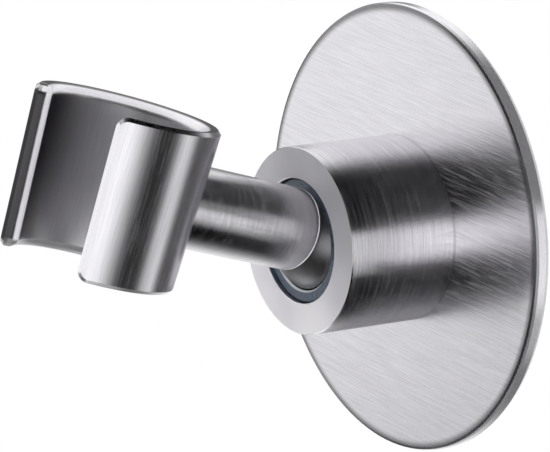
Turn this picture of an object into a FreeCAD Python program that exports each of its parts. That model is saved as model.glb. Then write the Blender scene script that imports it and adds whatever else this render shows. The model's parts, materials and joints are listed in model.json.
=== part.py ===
"""Adhesive wall holder for a hand shower: wall disc, ball joint, arm and open cradle.

Frame: millimetres, +Z up, +Y into the wall. The origin is the centre of the face that sticks
to the wall, so the holder reaches out along -Y. "Depth" is measured from the housing's front
face towards the wall.
"""
import FreeCAD, Part
import os
import re

import Sketcher
from FreeCAD import Placement, Rotation, Vector

SHEET = "Sizes"

SIZES = {
    # wall disc and its adhesive
    "disc_diameter": 75.8,
    "disc_thickness": 2.0,
    "disc_edge": 0.6,
    "disc_shoulder": 0.18,
    "pad_diameter": 74.8,
    "pad_thickness": 0.8,
    # turned housing
    "housing_diameter": 31.5,
    "housing_length": 20.8,
    "housing_crown": 0.2,
    "housing_edge": 0.15,
    "bore_diameter": 21.0,
    "bore_depth": 16.6,
    "bore_edge": 0.2,
    # ball and the rings that clamp it
    "ball_diameter": 19.2,
    "ball_depth": 6.2,
    "seat_gap": 0.05,
    "ring_outer": 20.84,
    "ring_inner": 16.8,
    "ring_length": 4.0,
    "ring_recess": 0.8,
    "ring_edge": 0.3,
    "seal_diameter": 20.14,
    "seal_section": 0.8,
    "seat_diameter": 20.6,
    "seat_length": 3.1,
    "washer_outer": 20.4,
    "washer_inner": 11.2,
    "washer_thickness": 0.7,
    "spring_outer": 19.8,
    "spring_inner": 11.2,
    "spring_thickness": 0.4,
    "spring_height": 0.8,
    # arm, and the stud that joins it to the ball
    "arm_diameter": 13.85,
    "arm_start": 9.2,
    "arm_edge": 0.2,
    "neck_diameter": 7.6,
    "stud_diameter": 6.0,
    "stud_start": 1.4,
    "stud_length": 16.0,
    "stud_play": 0.05,
    "stud_hole_depth": 9.5,
    "stud_hex": 3.0,
    # cradle, an open tapered collar
    "cradle_reach": 51.5,
    "cradle_height": 26.9,
    "cradle_top": 30.4,
    "cradle_bottom": 28.5,
    "cradle_wall": 2.9,
    "cradle_lean": 3.3,
    "slot_half_angle": 42.2,
    "corner_round": 2.0,
    "inner_round": 1.9,
    "outer_chamfer": 0.6,
    # countersunk screws
    "disc_screw_circle": 26.2,
    "disc_screw_diameter": 3.0,
    "disc_screw_head": 5.8,
    "disc_screw_length": 8.0,
    "disc_screw_hex": 2.0,
    "cradle_screw_diameter": 5.0,
    "cradle_screw_head": 9.2,
    "cradle_screw_length": 14.0,
    "cradle_screw_hex": 3.0,
    "head_land": 0.25,
    "head_sink": 0.15,
    "thread_play": 0.02,
    "thread_run_out": 1.2,
    "tip_chamfer": 0.5,
    "drill_point": 0.6,
    "socket_depth": 0.55,
    # how the arm stands in the ball joint
    "arm_tilt": 16.7,
    "arm_swing": 9.9,
    "arm_roll": -8.25,
}

SCREW_COUNT = 3
FULL_TURN = 360.0

# distances from the wall, as sheet expressions
DISC_BACK = "pad_thickness"
HOUSING_BACK = "(pad_thickness + disc_thickness)"
HOUSING_FRONT = "(pad_thickness + disc_thickness + housing_length)"
BALL_CENTRE = f"({HOUSING_FRONT} - ball_depth)"

# depths of the parts that press on the ball from behind
WASHER_DEPTH = "(bore_depth - 2 * spring_height - washer_thickness)"
SEAT_DEPTH = f"({WASHER_DEPTH} - seat_length)"

BALL_RADIUS = "(ball_diameter / 2)"
SEAT_RADIUS = "(ball_diameter / 2 + seat_gap)"
CRADLE_MIDDLE = "((cradle_top + cradle_bottom) / 4)"

# from the collar's axis to the face of the screw's head in its back wall
CRADLE_SCREW_FACE = "((cradle_top + cradle_bottom) / 4 - cradle_wall + head_sink)"

doc = FreeCAD.newDocument("shower_holder")


def make_sheet():
    """The driving dimensions, one named cell each."""
    sheet = doc.addObject("Spreadsheet::Sheet", SHEET)
    for row, (alias, value) in enumerate(SIZES.items(), start=1):
        sheet.set(f"A{row}", alias)
        sheet.set(f"B{row}", str(value))
        sheet.setAlias(f"B{row}", alias)
    doc.recompute()
    return sheet


def bound(text):
    """The same expression with every alias spelled as a cell of the sheet."""
    return re.sub(r"\b[a-z]+(?:_[a-z]+)+\b", lambda word: f"{SHEET}.{word.group()}", text)


def number(text):
    """The present value of a sheet expression."""
    value = sheet.evalExpression(bound(text))
    return float(getattr(value, "Value", value))


def new_body(label):
    body = doc.addObject("PartDesign::Body", label)
    body.Label = label
    return body


def new_sketch(body, name, plane):
    sketch = body.newObject("Sketcher::SketchObject", name)
    origin_plane = next(f for f in body.Origin.OriginFeatures if f.Role == plane)
    sketch.AttachmentSupport = [(origin_plane, "")]
    sketch.MapMode = "FlatFace"
    return sketch


def draw_profile(sketch, corners, arcs=None):
    """A closed outline through the corners, each held by two sheet expressions.

    arcs maps the number of a side to the arc's centre and radius, as expressions.
    """
    arcs = arcs or {}
    points = [Vector(number(x), number(y), 0) for x, y in corners]
    for side, start in enumerate(points):
        end = points[(side + 1) % len(points)]
        if side in arcs:
            centre_x, centre_y, radius = arcs[side]
            centre = Vector(number(centre_x), number(centre_y), 0)
            bulge = (start + end) * 0.5 - centre
            middle = centre + bulge.normalize() * number(radius)
            sketch.addGeometry(Part.Arc(start, middle, end))
        else:
            sketch.addGeometry(Part.LineSegment(start, end))
    ends = [join_sides(sketch, side, len(points), points) for side in range(len(points))]
    for side, (x, y) in enumerate(corners):
        hold(sketch, "DistanceX", side, ends[side], x, points[side].x)
        hold(sketch, "DistanceY", side, ends[side], y, points[side].y)
    for side, (_, _, radius) in arcs.items():
        index = sketch.addConstraint(Sketcher.Constraint("Radius", side, number(radius)))
        sketch.setExpression(f"Constraints[{index}]", bound(radius))


def vertex_at(sketch, side, point):
    """1 or 2: which end of the side lies at the point."""
    return 1 if sketch.getPoint(side, 1).isEqual(point, 1e-6) else 2


def join_sides(sketch, side, count, points):
    """Ties the start of a side to the end of the one before, and says which end that is."""
    before = (side - 1) % count
    here = vertex_at(sketch, side, points[side])
    there = vertex_at(sketch, before, points[side])
    sketch.addConstraint(Sketcher.Constraint("Coincident", before, there, side, here))
    return here


def hold(sketch, kind, side, vertex, expression, value):
    """Holds one coordinate of a corner at a sheet expression."""
    origin = (-1, 1)
    index = sketch.addConstraint(Sketcher.Constraint(kind, *origin, side, vertex, value))
    sketch.setExpression(f"Constraints[{index}]", bound(expression))


def revolve(body, sketch, axis, kind="Revolution", angle=str(FULL_TURN), middle=False):
    """Turns a sketch about one of its axes, as material or as a cut."""
    feature = body.newObject(f"PartDesign::{kind}", f"{sketch.Name}_{kind}")
    feature.Profile = sketch
    feature.ReferenceAxis = (sketch, [axis])
    feature.Midplane = middle
    feature.setExpression("Angle", bound(angle))
    sketch.Visibility = False
    doc.recompute()
    return feature


def turned(label, corners, axis="V_Axis", arcs=None):
    """A body turned in one piece from a half section drawn in its XY plane."""
    body = new_body(label)
    sketch = new_sketch(body, f"{label}_section", "XY_Plane")
    draw_profile(sketch, corners, arcs)
    revolve(body, sketch, axis)
    return body


def cut_around(body, name, plane, corners, axis, slant="0"):
    """Removes a turned shape, and makes sure that it took material away.

    slant turns the sketch in its plane, for a cut that isn't square to the body.
    """
    before = body.Shape.Volume
    sketch = new_sketch(body, name, plane)
    sketch.setExpression("AttachmentOffset.Rotation.Angle", bound(slant))
    draw_profile(sketch, corners)
    groove = revolve(body, sketch, axis, kind="Groove")
    assert body.Shape.Volume < before, f"{name} cuts nothing"
    return groove


def cut_about_line(body, name, corners, line_x):
    """As cut_around, about a construction line parallel to the body's Y axis."""
    before = body.Shape.Volume
    sketch = new_sketch(body, name, "XY_Plane")
    draw_profile(sketch, corners)
    x = number(line_x)
    line = sketch.addGeometry(Part.LineSegment(Vector(x, 0, 0), Vector(x, -1, 0)), True)
    sketch.addConstraint(Sketcher.Constraint("Vertical", line))
    hold(sketch, "DistanceX", line, 1, line_x, x)
    hold(sketch, "DistanceY", line, 1, "0", 0)
    sketch.addConstraint(Sketcher.Constraint("Distance", line, 1.0))
    groove = revolve(body, sketch, "Axis0", kind="Groove")
    assert body.Shape.Volume < before, f"{name} cuts nothing"
    return groove


def repeat_about_y(body, feature, count):
    pattern = body.newObject("PartDesign::PolarPattern", f"{feature.Name}_pattern")
    pattern.Originals = [feature]
    y_axis = next(f for f in body.Origin.OriginFeatures if f.Role == "Y_Axis")
    pattern.Axis = (y_axis, [""])
    pattern.Angle = FULL_TURN
    pattern.Occurrences = count
    body.Tip = pattern
    doc.recompute()


def cut_hexagon(body, name, plane, width, start, depth, away):
    """A hexagon socket from a plane of the body, started at a distance along its normal."""
    before = body.Shape.Volume
    sketch = new_sketch(body, name, plane)
    across, slant = f"{width} / sqrt(3)", f"{width} / (2 * sqrt(3))"
    half = f"{width} / 2"
    corners = [
        (across, "0"),
        (slant, half),
        (f"-({slant})", half),
        (f"-({across})", "0"),
        (f"-({slant})", f"-({half})"),
        (slant, f"-({half})"),
    ]
    draw_profile(sketch, corners)
    sketch.setExpression("AttachmentOffset.Base.z", bound(start))
    pocket = body.newObject("PartDesign::Pocket", f"{name}_pocket")
    pocket.Profile = sketch
    pocket.Reversed = away
    pocket.setExpression("Length", bound(depth))
    sketch.Visibility = False
    doc.recompute()
    assert body.Shape.Volume < before, f"{name} cuts nothing"


def stand_off(thing, distance):
    """Places a part of the wall side at a distance from the wall."""
    thing.setExpression("Placement.Base.y", bound(f"-({distance})"))


def joint_placement():
    """The frame of everything that swings: origin in the ball, X out along the arm."""
    centre = Vector(0, -number(BALL_CENTRE), 0)
    straight_out = -90.0
    yaw = straight_out + SIZES["arm_swing"]
    return Placement(centre, Rotation(yaw, -SIZES["arm_tilt"], SIZES["arm_roll"]))


def cradle_placement():
    """The cradle's frame: Z up its own axis, X towards its slot.

    The collar leans back by little more than its taper, so that the arm meets its back wall
    almost squarely.
    """
    lean = Rotation(Vector(0, 1, 0), SIZES["cradle_lean"])
    return joint_placement() * Placement(Vector(SIZES["cradle_reach"], 0, 0), lean)


# wall side

def adhesive_pad():
    """Clear gel sheet, cut a little smaller than the disc."""
    pad = doc.addObject("Part::Cylinder", "adhesive_pad")
    pad.setExpression("Radius", bound("pad_diameter / 2"))
    pad.setExpression("Height", bound("pad_thickness"))
    pad.Placement = Placement(Vector(0, 0, 0), Rotation(Vector(1, 0, 0), 90))
    return pad


def wall_disc():
    """Flat plate with a twice bevelled rim and three countersunk holes in its back."""
    radius = "disc_diameter / 2"
    body = turned("wall_disc", [
        ("0", "0"),
        (radius, "0"),
        (radius, "-(disc_thickness - disc_edge)"),
        (f"{radius} - disc_shoulder", "-(disc_thickness - disc_shoulder)"),
        (f"{radius} - disc_edge", "-disc_thickness"),
        ("0", "-disc_thickness"),
    ])
    line = "disc_screw_circle / 2"
    hole = "(disc_screw_diameter / 2 + thread_play)"
    mouth = "(disc_screw_head / 2 + thread_play)"
    groove = cut_about_line(body, "disc_screw_hole", [
        (line, "0"),
        (f"{line} + {mouth}", "0"),
        (f"{line} + {mouth}", "-head_land"),
        (f"{line} + {hole}", f"-(head_land + {mouth} - {hole})"),
        (f"{line} + {hole}", "-disc_thickness"),
        (line, "-disc_thickness"),
    ], line)
    repeat_about_y(body, groove, SCREW_COUNT)
    stand_off(body, DISC_BACK)
    return body


def housing():
    """Turned cup that holds the ball, slightly crowned in front; its floor is screwed to the disc."""
    outside = "housing_diameter / 2"
    bore = "bore_diameter / 2"
    floor = "-(housing_length - bore_depth)"
    face_rim = "(housing_length - housing_crown)"
    body = turned("housing", [
        ("0", "0"),
        (outside, "0"),
        (outside, f"-({face_rim} - housing_edge)"),
        (f"{outside} - housing_edge", f"-{face_rim}"),
        (f"{bore} + bore_edge", "-housing_length"),
        (bore, "-(housing_length - bore_edge)"),
        (bore, floor),
        ("0", floor),
    ])
    line = "disc_screw_circle / 2"
    hole = "(disc_screw_diameter / 2 + thread_play)"
    bottom = "-(disc_screw_length - disc_thickness + thread_run_out)"
    groove = cut_about_line(body, "housing_screw_hole", [
        (line, "0"),
        (f"{line} + {hole}", "0"),
        (f"{line} + {hole}", bottom),
        (line, f"{bottom} - {hole} * drill_point"),
    ], line)
    repeat_about_y(body, groove, SCREW_COUNT)
    stand_off(body, HOUSING_BACK)
    return body


def housing_screw(index):
    """Countersunk screw from the back of the disc into the housing."""
    label = f"housing_screw_{index + 1}"
    shank = "disc_screw_diameter / 2"
    head = "disc_screw_head / 2"
    end = "disc_screw_length"
    body = turned(label, [
        ("0", "0"),
        (head, "0"),
        (head, "-head_land"),
        (shank, f"-(head_land + {head} - {shank})"),
        (shank, f"-({end} - tip_chamfer)"),
        (f"{shank} - tip_chamfer", f"-{end}"),
        ("0", f"-{end}"),
    ])
    cut_hexagon(body, f"{label}_socket", "XZ_Plane", "disc_screw_hex", "0",
                "disc_screw_hex * socket_depth", True)
    turn = Rotation(Vector(0, 1, 0), FULL_TURN / SCREW_COUNT * index)
    spot = turn.multVec(Vector(SIZES["disc_screw_circle"] / 2, 0, 0))
    body.Placement = Placement(spot - Vector(0, SIZES["pad_thickness"], 0), turn)
    return body


def retaining_ring():
    """Threaded ring in the bore's mouth, with a spherical seat in front of the ball."""
    inside, outside = "ring_inner / 2", "ring_outer / 2"
    centre = "(ball_depth - ring_recess)"
    body = turned("retaining_ring", [
        (f"{inside} + ring_edge", "0"),
        (f"{outside} - ring_edge", "0"),
        (outside, "ring_edge"),
        (outside, "ring_length"),
        (f"sqrt({SEAT_RADIUS}^2 - ({centre} - ring_length)^2)", "ring_length"),
        (inside, f"{centre} - sqrt({SEAT_RADIUS}^2 - ({inside})^2)"),
        (inside, "ring_edge"),
    ], arcs={4: ("0", centre, SEAT_RADIUS)})
    stand_off(body, f"{HOUSING_FRONT} - ring_recess")
    return body


def ball_seal():
    """Rubber ring between the ball and the bore, behind the retaining ring."""
    seal = doc.addObject("Part::Torus", "ball_seal")
    seal.setExpression("Radius1", bound("seal_diameter / 2"))
    seal.setExpression("Radius2", bound("seal_section / 2"))
    seal.Placement = Placement(Vector(0, 0, 0), Rotation(Vector(1, 0, 0), 90))
    ring_end = "ring_recess + ring_length"
    stand_off(seal, f"{HOUSING_FRONT} - ({ring_end} + seal_section / 2)")
    return seal


def rear_seat():
    """Plastic cup behind the ball."""
    outside = "seat_diameter / 2"
    centre = f"(ball_depth - {SEAT_DEPTH})"
    body = turned("rear_seat", [
        (f"sqrt({SEAT_RADIUS}^2 - {centre}^2)", "0"),
        (outside, "0"),
        (outside, "seat_length"),
        (f"sqrt({SEAT_RADIUS}^2 - (seat_length - {centre})^2)", "seat_length"),
    ], arcs={3: ("0", centre, SEAT_RADIUS)})
    stand_off(body, f"{HOUSING_FRONT} - {SEAT_DEPTH}")
    return body


def thrust_washer():
    """Flat washer that spreads the springs' load over the seat."""
    inside, outside = "washer_inner / 2", "washer_outer / 2"
    body = turned("thrust_washer", [
        (inside, "0"),
        (outside, "0"),
        (outside, "washer_thickness"),
        (inside, "washer_thickness"),
    ])
    stand_off(body, f"{HOUSING_FRONT} - {WASHER_DEPTH}")
    return body


def disc_spring(label, stack_place, narrow_end, wide_end):
    """Coned spring washer; the two stand rim to rim."""
    inside, outside = "spring_inner / 2", "spring_outer / 2"
    body = turned(label, [
        (inside, narrow_end),
        (outside, wide_end),
        (outside, f"{wide_end} + spring_thickness"),
        (inside, f"{narrow_end} + spring_thickness"),
    ])
    first = f"({WASHER_DEPTH} + washer_thickness)"
    stand_off(body, f"{HOUSING_FRONT} - ({first} + {stack_place} * spring_height)")
    return body


# swinging side, along the arm's axis from the ball's centre

def ball():
    """Polished ball with a short neck and a tapped hole towards the arm."""
    neck = "neck_diameter / 2"
    hole = "(stud_diameter / 2 + stud_play)"
    hole_end = "(stud_start - thread_run_out)"
    body = turned("ball", [
        (f"-{BALL_RADIUS}", "0"),
        (f"sqrt({BALL_RADIUS}^2 - ({neck})^2)", neck),
        ("arm_start", neck),
        ("arm_start", hole),
        (hole_end, hole),
        (f"{hole_end} - {hole} * drill_point", "0"),
    ], axis="H_Axis", arcs={0: ("0", "0", BALL_RADIUS)})
    body.Placement = joint_placement()
    return body


def ball_stud():
    """Headless screw that holds the ball to the arm."""
    radius = "stud_diameter / 2"
    end = "(stud_start + stud_length)"
    body = turned("ball_stud", [
        ("stud_start", "0"),
        ("stud_start", f"{radius} - tip_chamfer"),
        ("stud_start + tip_chamfer", radius),
        (f"{end} - tip_chamfer", radius),
        (end, f"{radius} - tip_chamfer"),
        (end, "0"),
    ], axis="H_Axis")
    cut_hexagon(body, "stud_socket", "YZ_Plane", "stud_hex", end, "stud_hex", False)
    body.Placement = joint_placement()
    return body


def arm():
    """Turned bar, tapped at both ends and hollowed in front to fit the collar's wall."""
    radius = "arm_diameter / 2"
    back_hole = "(stud_diameter / 2 + thread_play)"
    back_end = "(arm_start + stud_hole_depth)"
    front_hole = "(cradle_screw_diameter / 2 + thread_play)"
    screw_end = f"(cradle_reach - {CRADLE_SCREW_FACE} - cradle_screw_length)"
    front_end = f"({screw_end} - thread_run_out)"
    body = turned("arm", [
        (f"{back_end} + {back_hole} * drill_point", "0"),
        (back_end, back_hole),
        ("arm_start", back_hole),
        ("arm_start", f"{radius} - arm_edge"),
        ("arm_start + arm_edge", radius),
        ("cradle_reach", radius),
        ("cradle_reach", front_hole),
        (front_end, front_hole),
        (f"{front_end} - {front_hole} * drill_point", "0"),
    ], axis="H_Axis")
    cope = body.newObject("PartDesign::SubtractiveCone", "arm_cope")
    cope.AttachmentSupport = [(next(f for f in body.Origin.OriginFeatures
                                    if f.Role == "XY_Plane"), "")]
    cope.MapMode = "FlatFace"
    cope.setExpression("Radius1", bound("cradle_bottom / 2"))
    cope.setExpression("Radius2", bound("cradle_top / 2"))
    cope.setExpression("Height", bound("cradle_height"))
    lean = Rotation(Vector(0, 1, 0), SIZES["cradle_lean"])
    half_down = Placement(Vector(0, 0, -SIZES["cradle_height"] / 2), Rotation())
    centre = Placement(Vector(SIZES["cradle_reach"], 0, 0), lean)
    cope.AttachmentOffset = centre * half_down
    doc.recompute()
    body.Placement = joint_placement()
    return body


def edges_on_cone(shape, offset):
    """Names of the edges that lie on the collar's outer cone, moved inwards by an offset."""
    slope = (SIZES["cradle_top"] - SIZES["cradle_bottom"]) / (2 * SIZES["cradle_height"])
    names = []
    for index, edge in enumerate(shape.Edges, start=1):
        points = edge.discretize(5)
        misses = [abs(Vector(p.x, p.y, 0).Length + offset - number(CRADLE_MIDDLE) - slope * p.z)
                  for p in points]
        if max(misses) < 0.01:
            names.append(f"Edge{index}")
    return names


def wall_corner_edges(shape):
    """Names of the straight edges that cross the wall at the slot's four corners."""
    names = []
    half = SIZES["cradle_height"] / 2
    for index, edge in enumerate(shape.Edges, start=1):
        ends = [vertex.Point for vertex in edge.Vertexes]
        level = all(abs(abs(p.z) - half) < 0.01 for p in ends)
        across = abs(edge.Length - SIZES["cradle_wall"]) < 0.01
        if level and across:
            names.append(f"Edge{index}")
    return names


def dress(body, kind, name, base, edges, size_property, size):
    """Rounds or bevels named edges of the feature before it."""
    feature = body.newObject(f"PartDesign::{kind}", name)
    feature.Base = (base, edges)
    feature.setExpression(size_property, bound(size))
    doc.recompute()
    return feature


def cradle():
    """Tapered C-shaped collar, open in front, with softened edges and a countersunk hole."""
    top, bottom = "cradle_top / 2", "cradle_bottom / 2"
    upper, lower = "cradle_height / 2", "-cradle_height / 2"
    body = new_body("cradle")
    sketch = new_sketch(body, "cradle_section", "XZ_Plane")
    draw_profile(sketch, [
        (f"-({top})", upper),
        (f"-({top} - cradle_wall)", upper),
        (f"-({bottom} - cradle_wall)", lower),
        (f"-({bottom})", lower),
    ])
    collar = revolve(body, sketch, "V_Axis", angle="360 - 2 * slot_half_angle", middle=True)
    corners = dress(body, "Fillet", "corner_rounds", collar,
                    wall_corner_edges(collar.Shape), "Radius", "corner_round")
    inner = edges_on_cone(corners.Shape, SIZES["cradle_wall"])
    rounded = dress(body, "Fillet", "inner_rounds", corners, inner, "Radius", "inner_round")
    outer = edges_on_cone(rounded.Shape, 0.0)
    dress(body, "Chamfer", "outer_bevels", rounded, outer, "Size", "outer_chamfer")
    shank = "(cradle_screw_diameter / 2 + thread_play)"
    mouth = "(cradle_screw_head / 2 + thread_play)"
    land = f"({CRADLE_SCREW_FACE} + head_land)"
    outside = f"({CRADLE_MIDDLE} + cradle_wall)"
    cut_around(body, "cradle_screw_hole", "XZ_Plane", [
        ("0", "0"),
        ("0", mouth),
        (f"-{land}", mouth),
        (f"-({land} + {mouth} - {shank})", shank),
        (f"-{outside}", shank),
        (f"-{outside}", "0"),
    ], "H_Axis", slant="cradle_lean")
    body.Placement = cradle_placement()
    return body


def cradle_screw():
    """Countersunk screw through the collar's back wall into the arm."""
    shank = "cradle_screw_diameter / 2"
    head = "cradle_screw_head / 2"
    end = "cradle_screw_length"
    body = turned("cradle_screw", [
        ("0", "0"),
        ("0", head),
        ("-head_land", head),
        (f"-(head_land + {head} - {shank})", shank),
        (f"-({end} - tip_chamfer)", shank),
        (f"-{end}", f"{shank} - tip_chamfer"),
        (f"-{end}", "0"),
    ], axis="H_Axis")
    cut_hexagon(body, "cradle_screw_socket", "YZ_Plane", "cradle_screw_hex", "0",
                "cradle_screw_hex * socket_depth", False)
    face = SIZES["cradle_reach"] - number(CRADLE_SCREW_FACE)
    body.Placement = joint_placement() * Placement(Vector(face, 0, 0), Rotation())
    return body


def check_and_write(parts):
    """Stops on any failed object, then writes one file per sub-part."""
    doc.recompute()
    for thing in doc.Objects:
        failed = {"Invalid", "Error"} & set(thing.State)
        assert not failed, f"{thing.Label} is {thing.State}"
    os.makedirs("parts", exist_ok=True)
    for part in parts:
        shape = part.Shape
        assert not shape.isNull() and shape.isValid(), f"{part.Label} has a bad shape"
        assert len(shape.Solids) == 1, f"{part.Label} has {len(shape.Solids)} solids"
    for part in parts:
        part.Shape.exportStep(f"parts/{part.Label}.step")
        box = part.Shape.BoundBox
        print(f"{part.Label:20s} {part.Shape.Volume:9.1f} mm3   "
              f"{box.XLength:6.2f} {box.YLength:6.2f} {box.ZLength:6.2f}")


sheet = make_sheet()
check_and_write([
    adhesive_pad(),
    wall_disc(),
    housing(),
    *[housing_screw(index) for index in range(SCREW_COUNT)],
    retaining_ring(),
    ball_seal(),
    rear_seat(),
    thrust_washer(),
    disc_spring("disc_spring_front", 0, "0", "spring_height - spring_thickness"),
    disc_spring("disc_spring_rear", 1, "spring_height - spring_thickness", "0"),
    ball(),
    ball_stud(),
    arm(),
    cradle(),
    cradle_screw(),
])
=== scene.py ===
"""Looks of the hand shower holder: brushed steel, studio and camera, in metres, round the CAD frame."""

import json
import math
from collections import namedtuple

import bpy
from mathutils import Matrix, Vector


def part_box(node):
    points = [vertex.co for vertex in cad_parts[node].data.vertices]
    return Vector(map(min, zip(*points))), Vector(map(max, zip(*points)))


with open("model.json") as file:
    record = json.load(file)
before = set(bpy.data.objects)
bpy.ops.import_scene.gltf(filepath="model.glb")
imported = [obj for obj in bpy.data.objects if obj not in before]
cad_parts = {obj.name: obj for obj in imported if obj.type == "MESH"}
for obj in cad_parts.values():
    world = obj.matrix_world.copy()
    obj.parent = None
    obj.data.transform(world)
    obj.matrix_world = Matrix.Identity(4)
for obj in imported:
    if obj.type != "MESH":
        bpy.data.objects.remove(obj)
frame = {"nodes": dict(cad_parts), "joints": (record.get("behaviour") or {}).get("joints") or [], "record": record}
bpy.context.view_layer.update()

MM = 0.001

# the photograph's camera, as fitted to the disc, the housing, the arm and the cradle
PHOTO_WIDTH = 550
FOCAL_PIXELS = 4500.0
SENSOR_WIDTH = 36.0
CAMERA_AZIMUTH = 55.71
CAMERA_ELEVATION = 11.21
CAMERA_DISTANCE = 757.3 * MM
AIM_RIGHT = -20.87 * MM
AIM_UP = 0.22 * MM

# axes that the finishes follow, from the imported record
JOINTS = {joint["name"]: joint for joint in frame["joints"]}
MOUNTS = {mount["name"]: mount for mount in frame["record"]["mounts"]}
UP = Vector((0, 0, 1))
WALL_CENTRE = Vector((0, 0, 0))
WALL_AXIS = Vector((0, -1, 0))
BALL_CENTRE = Vector(JOINTS["arm_turn"]["pos_m"])
ARM_AXIS = Vector(JOINTS["arm_turn"]["axis"])
CRADLE_CENTRE = Vector(MOUNTS["handset_seat"]["pos_m"])
CRADLE_AXIS = Vector(MOUNTS["handset_seat"]["axis"])
CRADLE_SIDE = CRADLE_AXIS.cross(ARM_AXIS).normalized()


def add_object(name, data):
    """A new object in the scene."""
    thing = bpy.data.objects.new(name, data)
    bpy.context.scene.collection.objects.link(thing)
    return thing


class Shader:
    """Short calls for building the nodes of one material."""

    def __init__(self, name):
        self.material = bpy.data.materials.new(name)
        self.material.use_nodes = True
        self.tree = self.material.node_tree
        self.tree.nodes.clear()

    def feed(self, socket, value):
        """Links a socket into another, or sets it to a plain value."""
        if isinstance(value, bpy.types.NodeSocket):
            self.tree.links.new(value, socket)
        else:
            socket.default_value = value

    def node(self, kind, inputs=None, **settings):
        node = self.tree.nodes.new(kind)
        for key, value in settings.items():
            setattr(node, key, value)
        for name, value in (inputs or {}).items():
            self.feed(node.inputs[name], value)
        return node

    def position(self):
        """Where a point of the piece lies in the CAD frame, before any joint has moved it."""
        return self.node("ShaderNodeTexCoord").outputs["Object"]

    def normal(self):
        """The way that the surface faces, in the same frame."""
        return self.node("ShaderNodeTexCoord").outputs["Normal"]

    def math(self, operation, *values):
        node = self.node("ShaderNodeMath", operation=operation)
        for socket, value in zip(node.inputs, values):
            self.feed(socket, value)
        return node.outputs[0]

    def vector(self, operation, first, second=(0, 0, 0)):
        node = self.node("ShaderNodeVectorMath", {0: first, 1: second}, operation=operation)
        return node.outputs["Value" if operation in ("DOT_PRODUCT", "LENGTH") else "Vector"]

    def dot(self, first, second):
        return self.vector("DOT_PRODUCT", first, second)

    def scaled(self, vector, factor):
        node = self.node("ShaderNodeVectorMath", {0: vector, "Scale": factor}, operation="SCALE")
        return node.outputs["Vector"]

    def blend(self, start, full, value):
        """A mask: 0 up to start, 1 from full on, smooth between; start may be the higher one."""
        node = self.node("ShaderNodeMapRange", {"Value": value, "From Min": start, "From Max": full},
                         interpolation_type="SMOOTHSTEP")
        return node.outputs["Result"]

    def product(self, *factors):
        """Numbers multiplied; of masks, 1 only where each of them is 1."""
        result = factors[0]
        for factor in factors[1:]:
            result = self.math("MULTIPLY", result, factor)
        return result

    def within(self, value, first, second):
        """A mask between two blends of one value, each given by its start and its full end."""
        return self.product(self.blend(*first, value), self.blend(*second, value))

    def opposite(self, mask):
        return self.math("SUBTRACT", 1.0, mask)

    def mix(self, factor, low, high):
        """A number between two others."""
        node = self.node("ShaderNodeMix", {"Factor": factor, "A": low, "B": high})
        return node.outputs["Result"]

    def ramp(self, factor, *stops):
        """Colours along a ramp: each stop is a place and a colour."""
        node = self.node("ShaderNodeValToRGB", {"Fac": factor})
        elements = node.color_ramp.elements
        for index, (place, colour) in enumerate(stops):
            element = elements[index] if index < len(elements) else elements.new(place)
            element.position = place
            element.color = (*colour, 1.0)
        return node.outputs["Color"]

    def noise(self, vector, place, detail=3.0):
        """Noise over a vector and a fourth coordinate, which tells one mark from the next."""
        node = self.node("ShaderNodeTexNoise", {
            "Vector": vector, "W": place, "Scale": 1.0, "Detail": detail, "Roughness": 0.6,
        }, noise_dimensions="4D")
        return node.outputs["Fac"]

    def speckle(self, size):
        """Round blots of about this size."""
        return self.noise(self.scaled(self.position(), 1 / size), 0.0)

    def bump(self, strength, depth, height):
        """The surface's normal, tilted by fine relief."""
        node = self.node("ShaderNodeBump", {"Strength": strength, "Distance": depth, "Height": height})
        return node.outputs["Normal"]

    def output(self, socket):
        """The finished material, with this as its surface."""
        self.node("ShaderNodeOutputMaterial", {"Surface": socket})
        return self.material

    def principled(self, inputs):
        return self.output(self.node("ShaderNodeBsdfPrincipled", inputs).outputs[0])


# camera and studio

def look_direction(azimuth, elevation):
    """From the object towards a camera at these angles; azimuth 0 is straight in front of the wall."""
    a, e = math.radians(azimuth), math.radians(elevation)
    return Vector((math.sin(a) * math.cos(e), -math.cos(a) * math.cos(e), math.sin(e)))


def make_camera():
    """The photograph's camera, aimed at a point beside the middle of the disc's face."""
    back = look_direction(CAMERA_AZIMUTH, CAMERA_ELEVATION)
    right = UP.cross(back).normalized()
    up = back.cross(right)
    disc_front = Vector((0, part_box("wall_disc")[0].y, 0))
    target = disc_front + right * AIM_RIGHT + up * AIM_UP
    data = bpy.data.cameras.new("photo_camera")
    data.sensor_width = SENSOR_WIDTH
    data.lens = FOCAL_PIXELS / PHOTO_WIDTH * SENSOR_WIDTH
    data.clip_start, data.clip_end = 0.05, 50.0
    camera = add_object("photo_camera", data)
    camera.location = target + back * CAMERA_DISTANCE
    camera.rotation_mode = "QUATERNION"
    camera.rotation_quaternion = (-back).to_track_quat("-Z", "Y")
    bpy.context.scene.camera = camera


def make_world():
    """An even white studio, at a strength where white is white."""
    world = bpy.data.worlds.new("white_studio")
    world.use_nodes = True
    background = world.node_tree.nodes["Background"]
    background.inputs["Color"].default_value = (1.0, 1.0, 1.0, 1.0)
    background.inputs["Strength"].default_value = 1.0
    bpy.context.scene.world = world


FLOOR_LEVEL = -1.8
FLOOR_SIZE = 24.0
FLOOR_COLOUR = (0.9, 0.9, 0.9, 1.0)
FLOOR_GLOW = 0.1


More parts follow.
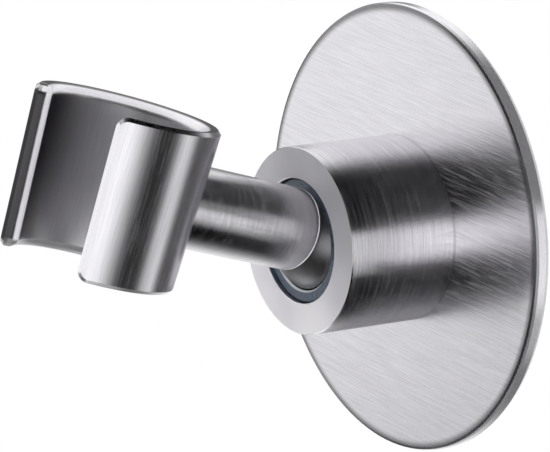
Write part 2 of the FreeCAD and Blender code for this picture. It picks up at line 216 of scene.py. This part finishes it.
def make_floor():
    """A plain pale floor well below the holder, with a faint glow of its own."""
    half = FLOOR_SIZE / 2
    corners = [(-half, -half), (half, -half), (half, half), (-half, half)]
    mesh = bpy.data.meshes.new("floor")
    mesh.from_pydata([(x, y, FLOOR_LEVEL) for x, y in corners], [], [(0, 1, 2, 3)])
    floor = add_object("floor", mesh)
    shader = Shader("pale_floor")
    matte = shader.node("ShaderNodeBsdfDiffuse", {"Color": FLOOR_COLOUR})
    glow = shader.node("ShaderNodeEmission", {"Color": (1.0, 1.0, 1.0, 1.0), "Strength": FLOOR_GLOW})
    both = shader.node("ShaderNodeAddShader", {0: matte.outputs[0], 1: glow.outputs[0]})
    mesh.materials.append(shader.output(both.outputs[0]))


# cards and light panels round the holder, seen only in its reflections
# roll turns about the wall's axis, 0 to the right and 90 up; tilt is the angle from straight in front
# name: rolls, tilts and soft edges (low roll, high roll, both tilts) in degrees, brightness, and
# distance in metres
STUDIO_CARDS = {
    "dark_shell": ((-150.0, 122.0), (-2.0, 172.0), (60.0, 32.0, 26.0), 0.0, 0.55),
    "low_shell": ((-168.0, -62.0), (40.0, 100.0), (28.0, 40.0, 14.0), 0.17, 0.54),
    "low_front_shell": ((-158.0, -92.0), (-2.0, 44.0), (16.0, 16.0, 14.0), 0.62, 0.56),
    "front_shell": ((100.0, 262.0), (-2.0, 50.0), (10.0, 10.0, 10.0), 0.1, 0.57),
    "left_rear_shell": ((146.0, 206.0), (78.0, 152.0), (14.0, 14.0, 16.0), 0.16, 0.58),
    "front_light": ((-35.0, 20.0), (20.0, 88.0), (14.0, 14.0, 34.0), 1.42, 0.5),
    "rear_light": ((-43.0, -10.0), (115.0, 144.0), (14.0, 14.0, 10.0), 1.1, 0.5),
    "low_rear_light": ((-73.0, -31.0), (124.0, 142.0), (14.0, 14.0, 7.0), 1.25, 0.49),
    "ball_light": ((-138.0, -94.0), (64.0, 98.0), (14.0, 14.0, 12.0), 1.3, 0.52),
    "side_light": ((-27.0, 19.0), (111.0, 138.0), (13.0, 13.0, 12.0), 1.05, 0.48),
}
CARD_STEPS = 40


def card_direction(roll, tilt):
    """From the object towards a place on the studio's sphere."""
    r, t = math.radians(roll), math.radians(tilt)
    return Vector((math.cos(r) * math.sin(t), -math.cos(t), math.sin(r) * math.sin(t)))


def card_mesh(name, rolls, tilts, edges, distance):
    """A patch of a sphere round the holder, with a cover that falls from 1 to 0 over its soft edges."""
    places, cover = [], []
    for row in range(CARD_STEPS + 1):
        for column in range(CARD_STEPS + 1):
            roll = rolls[0] + (rolls[1] - rolls[0]) * column / CARD_STEPS
            tilt = tilts[0] + (tilts[1] - tilts[0]) * row / CARD_STEPS
            places.append(card_direction(roll, tilt) * distance)
            share = min((roll - rolls[0]) / edges[0], (rolls[1] - roll) / edges[1],
                        (tilt - tilts[0]) / edges[2], (tilts[1] - tilt) / edges[2], 1.0)
            cover.append(share * share * (3 - 2 * share))
    side = CARD_STEPS + 1
    faces = [(i, i + 1, i + side + 1, i + side)
             for i in range(side * side - side) if (i + 1) % side]
    mesh = bpy.data.meshes.new(name)
    mesh.from_pydata(places, [], faces)
    mesh.attributes.new("cover", "FLOAT", "POINT").data.foreach_set("value", cover)
    return mesh


def make_card(name, rolls, tilts, edges, brightness, distance):
    """One card, which glows where its cover is 1 and is clear where it is 0."""
    card = add_object(name, card_mesh(name, rolls, tilts, edges, distance))
    shader = Shader(name)
    share = shader.node("ShaderNodeAttribute", attribute_name="cover").outputs["Fac"]
    clear = shader.node("ShaderNodeBsdfTransparent").outputs[0]
    glow = shader.node("ShaderNodeEmission", {"Strength": brightness}).outputs[0]
    mixed = shader.node("ShaderNodeMixShader", {0: share, 1: clear, 2: glow})
    card.data.materials.append(shader.output(mixed.outputs[0]))
    card.visible_camera = False
    card.visible_diffuse = False
    card.visible_transmission = False
    card.visible_shadow = False


# places and grain on a piece

TurnedPlace = namedtuple("TurnedPlace", "along radius radial")
Grain = namedtuple("Grain", "vector place groove")


def place_on(shader, centre, axis):
    """Where a point lies on a turned piece: distance along its axis, radius, unit radial vector."""
    offset = shader.vector("SUBTRACT", shader.position(), centre)
    along = shader.dot(offset, axis)
    across = shader.vector("SUBTRACT", offset, shader.scaled(axis, along))
    return TurnedPlace(along, shader.vector("LENGTH", across), shader.vector("NORMALIZE", across))


def turned_grain(shader, centre, axis, length, width):
    """Marks that run round an axis: their noise coordinates and the direction of their grooves."""
    along, radius, radial = place_on(shader, centre, axis)
    lap = shader.scaled(radial, shader.math("DIVIDE", radius, length))
    place = shader.math("DIVIDE", shader.math("ADD", along, radius), width)
    return Grain(lap, place, shader.vector("CROSS_PRODUCT", axis, radial))


def straight_grain(shader, direction, length, width):
    """The same for marks that run straight along a direction."""
    position = shader.position()
    along = shader.dot(position, direction)
    across = shader.vector("SUBTRACT", position, shader.scaled(direction, along))
    stretched = shader.vector("ADD", shader.scaled(across, 1 / width),
                              shader.scaled(direction, shader.math("DIVIDE", along, length)))
    return Grain(stretched, 0.0, direction)


def mixed_groove(shader, groove, other, share):
    """The direction of the grooves, turned into another one where share is 1."""
    kept = shader.scaled(groove, shader.opposite(share))
    return shader.vector("ADD", kept, shader.scaled(other, share))


def spread_direction(shader, groove):
    """Across the grooves, in the world: the way that a highlight is drawn out, whatever the pose."""
    across = shader.vector("CROSS_PRODUCT", shader.normal(), groove)
    node = shader.node("ShaderNodeVectorTransform", {"Vector": across}, vector_type="VECTOR",
                       convert_from="OBJECT", convert_to="WORLD")
    return node.outputs["Vector"]


def bore_edge(shader, radial):
    """A mask of the softened edge of a bore, which faces partly inwards and gets a painted highlight."""
    outward = shader.dot(shader.normal(), radial)
    return shader.within(outward, (-0.3, -0.5), (-0.95, -0.85))


# finishes; where a mask compares the surface's normal with a direction, its numbers are cosines

STEEL = (0.775, 0.762, 0.795)
NOISE_RANGE = (0.3, 0.7)
RIDGE_DEPTH = 0.016 * MM
BROAD_STREAK_SCALE = (0.45, 0.3)
BROAD_STREAK_SHARE = 0.12
STREAK_POLISH = (1.1, 0.9)
SCRATCH_PLACE = 7.3
SCRATCH_FINENESS = 1.2
SCRATCH_COVER = (0.49, 0.66)
PLASTIC_IOR = 1.47
PLASTIC_RELIEF = 0.02 * MM


def tinted(colour, factor):
    return tuple(min(channel * factor, 1.0) for channel in colour)


def uneven(shader, noise, colour, contrast):
    """A colour that the noise makes darker and lighter by this share."""
    low, high = NOISE_RANGE
    return shader.ramp(noise, (low, tinted(colour, 1 - contrast)), (high, tinted(colour, 1 + contrast)))


def brushed_steel(shader, grain, roughness, anisotropy, contrast, bump, haze, tone, metallic):
    """Brushed metal whose marks follow the grain.

    contrast and bump are the marks' strength in colour and relief, tone multiplies the colour, and
    haze is how much light the finest scratches scatter, which shows in the dark reflections.
    """
    vector, place, groove = grain
    fine = shader.noise(vector, place, detail=1.5)
    stretch, crowding = BROAD_STREAK_SCALE
    broad = shader.noise(shader.scaled(vector, stretch), shader.product(place, crowding), detail=1.0)
    streak = shader.mix(BROAD_STREAK_SHARE, fine, broad)
    ridges = shader.bump(bump, RIDGE_DEPTH, streak)
    scratch_place = shader.math("MULTIPLY_ADD", place, SCRATCH_FINENESS, SCRATCH_PLACE)
    scratch = shader.noise(shader.scaled(vector, SCRATCH_FINENESS), scratch_place, detail=1.0)
    clean = shader.opposite(shader.product(shader.blend(*SCRATCH_COVER, scratch), haze))
    return shader.principled({
        "Base Color": shader.scaled(uneven(shader, streak, STEEL, contrast), tone),
        "Metallic": shader.product(metallic, clean),
        "Roughness": shader.product(roughness, shader.mix(streak, *STREAK_POLISH)),
        "Anisotropic": anisotropy,
        "Tangent": spread_direction(shader, groove),
        "Normal": ridges,
    })


# the disc's grain drops to the right by this angle; the line of painted shade along its edge starts
# and is full at these distances from the rim
PLATE_GRAIN_ANGLE = math.radians(6.5)
PLATE_GRAIN = Vector((math.cos(PLATE_GRAIN_ANGLE), 0, -math.sin(PLATE_GRAIN_ANGLE)))
PLATE_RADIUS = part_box("wall_disc")[1].z
PLATE_SHADE_LINE_START = 1.85 * MM
PLATE_SHADE_LINE_FULL = 0.55 * MM


def plate_finish():
    """Straight grain on the face, a line of painted shade along its edge, and a lighter rim brushed round."""
    shader = Shader("plate_finish")
    grain = straight_grain(shader, PLATE_GRAIN, length=7 * MM, width=0.21 * MM)
    radius = place_on(shader, WALL_CENTRE, WALL_AXIS).radius
    normal = shader.normal()
    slope = shader.math("ABSOLUTE", shader.dot(normal, WALL_AXIS))
    flat = shader.blend(0.97, 0.99, slope)
    rim = shader.blend(0.6, 0.45, slope)
    # painted shade: a dark line along the outer edge of the face
    line = shader.blend(PLATE_RADIUS - PLATE_SHADE_LINE_START, PLATE_RADIUS - PLATE_SHADE_LINE_FULL, radius)
    lap = shader.vector("CROSS_PRODUCT", WALL_AXIS, normal)
    return brushed_steel(
        shader, grain._replace(groove=mixed_groove(shader, grain.groove, lap, rim)),
        roughness=shader.mix(rim, 0.23, 0.2),
        anisotropy=0.7,
        contrast=0.09,
        bump=shader.mix(flat, 0.3, 0.9),
        haze=shader.mix(flat, 0.05, 0.18),
        tone=shader.mix(rim, shader.mix(line, 1.0, 0.3), 1.15),
        metallic=shader.mix(rim, 1.0, 0.8),
    )


# painted shade runs across the housing's face along this direction, from one side of it to the
# other; the painted shade in the joint with the disc starts and is full at these distances from the disc
FACE_PAINTED_SHADE = (0.6, 0, 0.8)
FACE_REACH = 15 * MM
HOUSING_ROOT = -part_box("wall_disc")[0].y
JOINT_START = 0.35 * MM
JOINT_FULL = 0.15 * MM


def housing_finish():
    """Turned side with painted shade in its joint with the disc, a satin face with painted shade across it, and a
    painted highlight on the bore edge.
    """
    shader = Shader("housing_finish")
    grain = turned_grain(shader, WALL_CENTRE, WALL_AXIS, length=14 * MM, width=0.22 * MM)
    face = shader.blend(0.97, 0.995, shader.dot(shader.normal(), WALL_AXIS))
    place = shader.product(grain.place, shader.opposite(face))
    groove = mixed_groove(shader, grain.groove, UP, face)
    # painted shade across the face: lighter and less metallic towards the lower left, darker towards the upper
    # right
    across = shader.dot(shader.position(), FACE_PAINTED_SHADE)
    shade = shader.product(face, shader.blend(-FACE_REACH, FACE_REACH, across))
    along, _, radial = place_on(shader, WALL_CENTRE, WALL_AXIS)
    # painted highlight on the softened bore edge
    edge = bore_edge(shader, radial)
    # painted shade in the joint with the disc
    joint = shader.blend(HOUSING_ROOT + JOINT_START, HOUSING_ROOT + JOINT_FULL, along)
    side_tone_with_painted_shade = shader.mix(joint, 1.07, 0.88)
    face_painted_shade = shader.mix(shade, 1.28, 0.85)
    face_metallic = shader.mix(shade, 0.5, 0.68)
    return brushed_steel(
        shader, Grain(grain.vector, place, groove),
        roughness=shader.mix(face, 0.22, 0.72),
        anisotropy=0.75,
        contrast=0.13,
        bump=shader.mix(face, 1.1, 0.03),
        haze=0.055,
        tone=shader.mix(edge, shader.mix(face, side_tone_with_painted_shade, face_painted_shade), 1.25),
        metallic=shader.mix(edge, shader.mix(face, 1.0, face_metallic), 0.1),
    )


# the arm's painted highlight line ends at this distance from the ball's centre
ARM_HIGHLIGHT_END = 9.6 * MM
ARM_HIGHLIGHT_FADE = 0.15 * MM


def arm_finish():
    """Turned, with a painted highlight line round its end near the ball."""
    shader = Shader("arm_finish")
    grain = turned_grain(shader, BALL_CENTRE, ARM_AXIS, length=4 * MM, width=0.28 * MM)
    along = place_on(shader, BALL_CENTRE, ARM_AXIS).along
    side = shader.blend(-0.95, -0.85, shader.dot(shader.normal(), ARM_AXIS))
    # painted highlight: a light line round the side next to the end near the ball
    line = shader.product(shader.blend(ARM_HIGHLIGHT_END + ARM_HIGHLIGHT_FADE, ARM_HIGHLIGHT_END, along), side)
    return brushed_steel(
        shader, grain,
        roughness=0.22,
        anisotropy=0.85,
        contrast=0.09,
        bump=0.9,
        haze=0.07,
        tone=shader.mix(line, 1.0, 1.28),
        metallic=shader.mix(line, 1.0, 0.05),
    )


# how much the height of a place moves the painted shade of the cradle's inside
CRADLE_HALF_HEIGHT = 13.45 * MM
CRADLE_HEIGHT_PAINTED_SHADE = 0.25


def slot_masks(shader, outward, rise, level, near):
    """At the slot's ends: cut face, rounded inner corner and, on the near one, the outer bevel."""
    rim_bevel = shader.product(shader.blend(0.45, 0.6, outward), shader.blend(0.3, 0.5, level))
    cut = shader.product(shader.within(outward, (0.95, 0.85), (-0.55, -0.35)),
                         shader.blend(0.95, 0.85, level), shader.opposite(rim_bevel))
    corner = shader.product(shader.within(outward, (-0.35, -0.55), (-0.99, -0.9)),
                            shader.blend(-0.4, -0.1, rise))
    bevel = shader.product(shader.within(outward, (0.85, 0.78), (0.5, 0.62)),
                           shader.blend(0.5, 0.2, level), near)
    return cut, corner, bevel


def bore_end_masks(shader, outward, rise, level):
    """At the bore's ends: the flat rim, and its rounded inner edge above and below."""
    inward = shader.blend(0.1, -0.1, outward)
    rim = shader.blend(0.76, 0.86, level)
    top = shader.product(shader.within(rise, (0.25, 0.45), (0.86, 0.76)), inward)
    under = shader.product(shader.blend(-0.1, -0.3, rise), inward)
    return rim, top, under


def cradle_finish():
    """Brushed along its axis outside and rougher inside, with painted shade inside, on the cut faces, the flat
    rims and the lower inner edges, and painted highlights on the rounded inner edges and the near bevel.
    """
    shader = Shader("cradle_finish")
    grain = straight_grain(shader, CRADLE_AXIS, length=18 * MM, width=0.28 * MM)
    along, _, radial = place_on(shader, CRADLE_CENTRE, CRADLE_AXIS)
    normal = shader.normal()

    # how far the surface faces outwards, upwards, and up or down alike
    outward = shader.dot(normal, radial)
    rise = shader.dot(normal, CRADLE_AXIS)
    level = shader.math("ABSOLUTE", rise)

    near = shader.blend(-0.1, 0.1, shader.dot(radial, CRADLE_SIDE))
    cut, corner, bevel = slot_masks(shader, outward, rise, level, near)
    rim, top, under = bore_end_masks(shader, outward, rise, level)
    # painted highlights on the rounded inner corners, the near bevel and the upper inner edges
    painted_highlight = shader.math("MAXIMUM", shader.math("MAXIMUM", corner, bevel), top)

    # painted shade inside: lighter towards the arm and darker towards its upper end
    inside = shader.blend(-0.94, -0.99, outward)
    height = shader.product(along, CRADLE_HEIGHT_PAINTED_SHADE / CRADLE_HALF_HEIGHT)
    facing = shader.math("SUBTRACT", shader.dot(normal, ARM_AXIS), height)
    inner_painted_shade = shader.mix(shader.blend(-0.75, 0.5, facing), 0.08, 1.05)
    # painted shade on the cut faces, the flat rims and the lower inner edges
    tone = shader.mix(inside, shader.mix(cut, 0.95, 0.2), inner_painted_shade)
    tone = shader.mix(rim, tone, 0.18)
    tone = shader.mix(under, tone, 0.5)
    metallic = shader.mix(rim, shader.mix(under, 1.0, 0.4), 0.8)
    return brushed_steel(
        shader, grain,
        roughness=shader.mix(inside, shader.mix(cut, 0.225, 0.5), 0.42),
        anisotropy=0.4,
        contrast=0.05,
        bump=0.15,
        haze=0.05,
        tone=shader.mix(painted_highlight, tone, 1.25),
        metallic=shader.mix(painted_highlight, metallic, 0.1),
    )


def plain_metal(name, roughness, colour, blot):
    """Unbrushed metal with a slightly uneven polish."""
    shader = Shader(name)
    mottle = shader.speckle(blot)
    return shader.principled({
        "Base Color": uneven(shader, mottle, colour, 0.06),
        "Metallic": 1.0,
        "Roughness": shader.mix(mottle, roughness * 0.8, roughness * 1.2),
    })


def plastic(name, colour, roughness, blot, transmission=0.0):
    """Moulded plastic, gel or rubber with a faint unevenness."""
    shader = Shader(name)
    mottle = shader.speckle(blot)
    return shader.principled({
        "Base Color": uneven(shader, mottle, colour, 0.07),
        "Roughness": shader.mix(mottle, roughness * 0.85, roughness * 1.15),
        "Transmission Weight": transmission,
        "IOR": PLASTIC_IOR,
        "Normal": shader.bump(0.1, PLASTIC_RELIEF, mottle),
    })


RING_DARK = (0.052, 0.076, 0.115)
RING_BLUE = (0.068, 0.095, 0.135)
RING_EDGE_HIGHLIGHT = (0.75, 0.78, 0.82)
RING_MOTTLE = 0.3


def ring_finish():
    """Blue-grey plastic with a painted highlight on its inner edge."""
    shader = Shader("ring_finish")
    # painted highlight on the softened inner edge
    edge = bore_edge(shader, place_on(shader, WALL_CENTRE, WALL_AXIS).radial)
    mottle = shader.speckle(1 * MM)
    shade = shader.math("ADD", shader.mix(mottle, 0.0, RING_MOTTLE), edge)
    return shader.principled({
        "Base Color": shader.ramp(shade, (0.0, RING_DARK), (RING_MOTTLE, RING_BLUE), (1.0, RING_EDGE_HIGHLIGHT)),
        "Roughness": shader.mix(mottle, 0.24, 0.32),
        "IOR": PLASTIC_IOR,
    })


def dress_nodes():
    """Gives every CAD node its finish."""
    screws = plain_metal("screw_finish", 0.3, (0.6, 0.6, 0.61), 0.6 * MM)
    inner = plain_metal("inner_steel_finish", 0.38, (0.55, 0.55, 0.56), 0.8 * MM)
    finishes = {
        "adhesive_pad": plastic("gel_finish", (0.9, 0.91, 0.92), 0.3, 3 * MM, transmission=0.3),
        "wall_disc": plate_finish(),
        "housing": housing_finish(),
        "housing_screw_1": screws,
        "housing_screw_2": screws,
        "housing_screw_3": screws,
        "retaining_ring": ring_finish(),
        "ball_seal": plastic("rubber_finish", (0.03, 0.03, 0.03), 0.6, 0.5 * MM),
        "rear_seat": plastic("seat_finish", (0.8, 0.8, 0.78), 0.4, 1 * MM),
        "thrust_washer": inner,
        "disc_spring_front": inner,
        "disc_spring_rear": inner,
        # the ball's dark grey is painted shade of the socket round it
        "ball": plain_metal("ball_finish", 0.4, (0.3, 0.3, 0.31), 1 * MM),
        "ball_stud": screws,
        "arm": arm_finish(),
        "cradle": cradle_finish(),
        "cradle_screw": screws,
    }
    for name, node in frame["nodes"].items():
        for slot in node.material_slots:
            slot.material = finishes[name]


make_camera()
make_world()
make_floor()
for card_name, card in STUDIO_CARDS.items():
    make_card(card_name, *card)
dress_nodes()

bpy.context.scene.view_settings.view_transform = "Standard"

bpy.context.view_layer.update()
